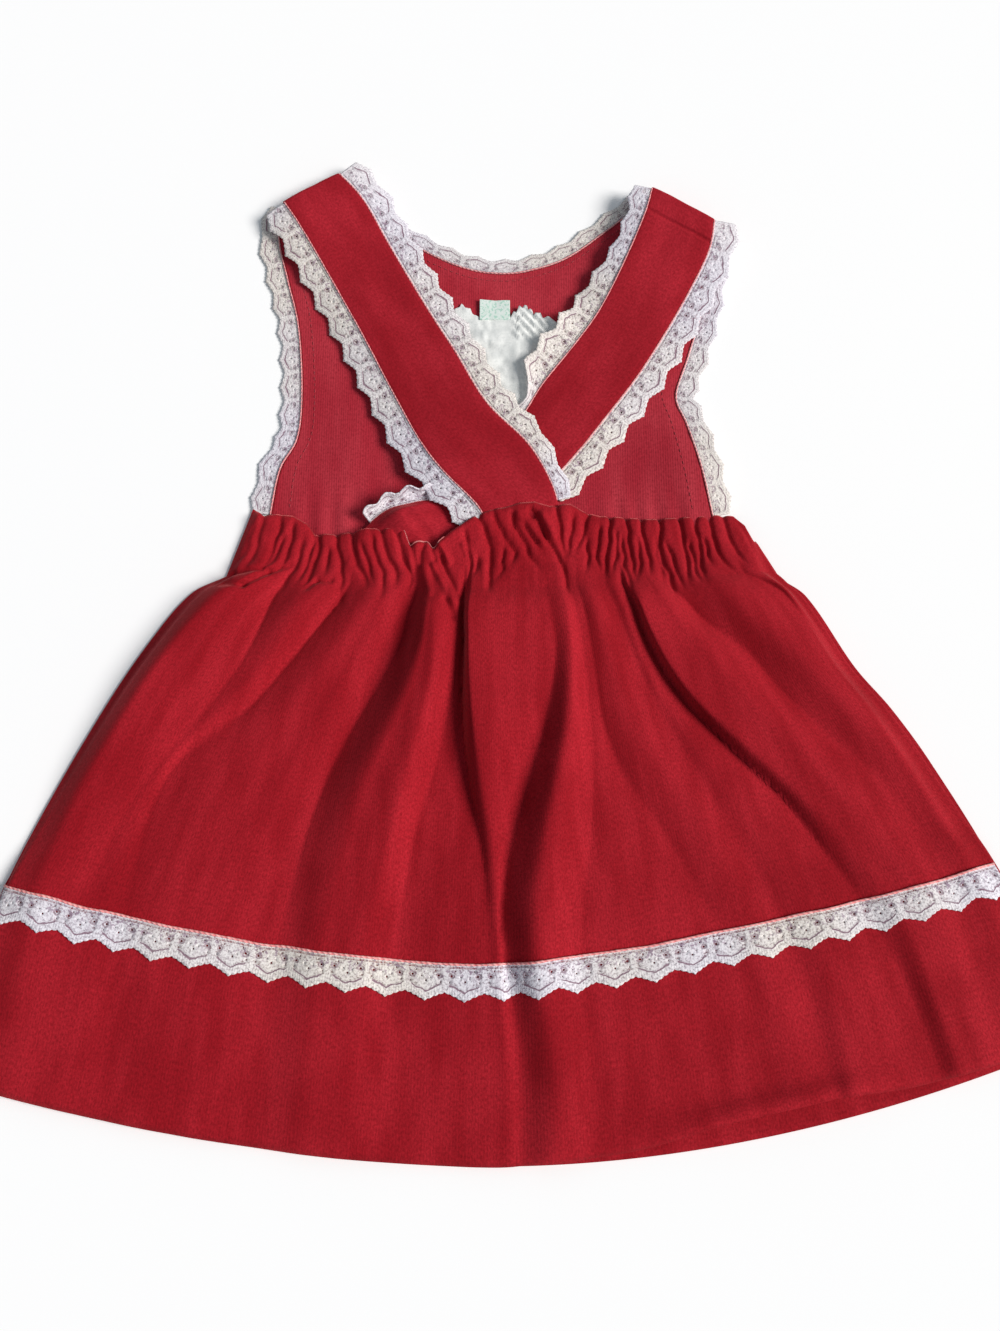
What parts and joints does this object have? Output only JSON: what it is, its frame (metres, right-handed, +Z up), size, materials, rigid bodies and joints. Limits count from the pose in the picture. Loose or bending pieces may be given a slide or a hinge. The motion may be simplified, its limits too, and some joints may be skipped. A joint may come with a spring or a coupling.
{
  "type": "sarafan dress",
  "caption": "Toddler's needlecord pinafore dress laid flat, with crossed front straps, gathered elasticated waist, flared skirt and lace edgings.",
  "frame": {"origin": "the middle of the dress's outline, on the surface that it lies on", "axes": "+X to the viewer's right across the dress, +Y up the dress from hem to shoulders, +Z up from the surface, out of the dress's front"},
  "size_m": [0.4482, 0.4454, 0.0141],
  "materials": {
    "red_cord": "fine-waled cotton needlecord with a short brushed pile",
    "white_lace": "white cotton-and-nylon machine lace, matt",
    "white_label": "white woven label, slightly satin, bare",
    "mint_tab": "mint woven tab, bare"
  },
  "bodies": {
    "root": {"back_bodice": "red_cord", "skirt_back": "red_cord", "skirt_front": "red_cord", "waist_casing": "red_cord", "front_strap_left": "red_cord", "front_strap_right": "red_cord", "strap_lace_left_outer": "white_lace", "strap_lace_left_inner": "white_lace", "strap_lace_right_outer": "white_lace", "strap_lace_right_inner": "white_lace", "neck_lace": "white_lace", "armhole_lace_left": "white_lace", "armhole_lace_right": "white_lace", "hem_lace_front": "white_lace", "hem_lace_back": "white_lace", "neck_label": "white_label", "label_tab": "mint_tab"}
  },
  "joints": []
}
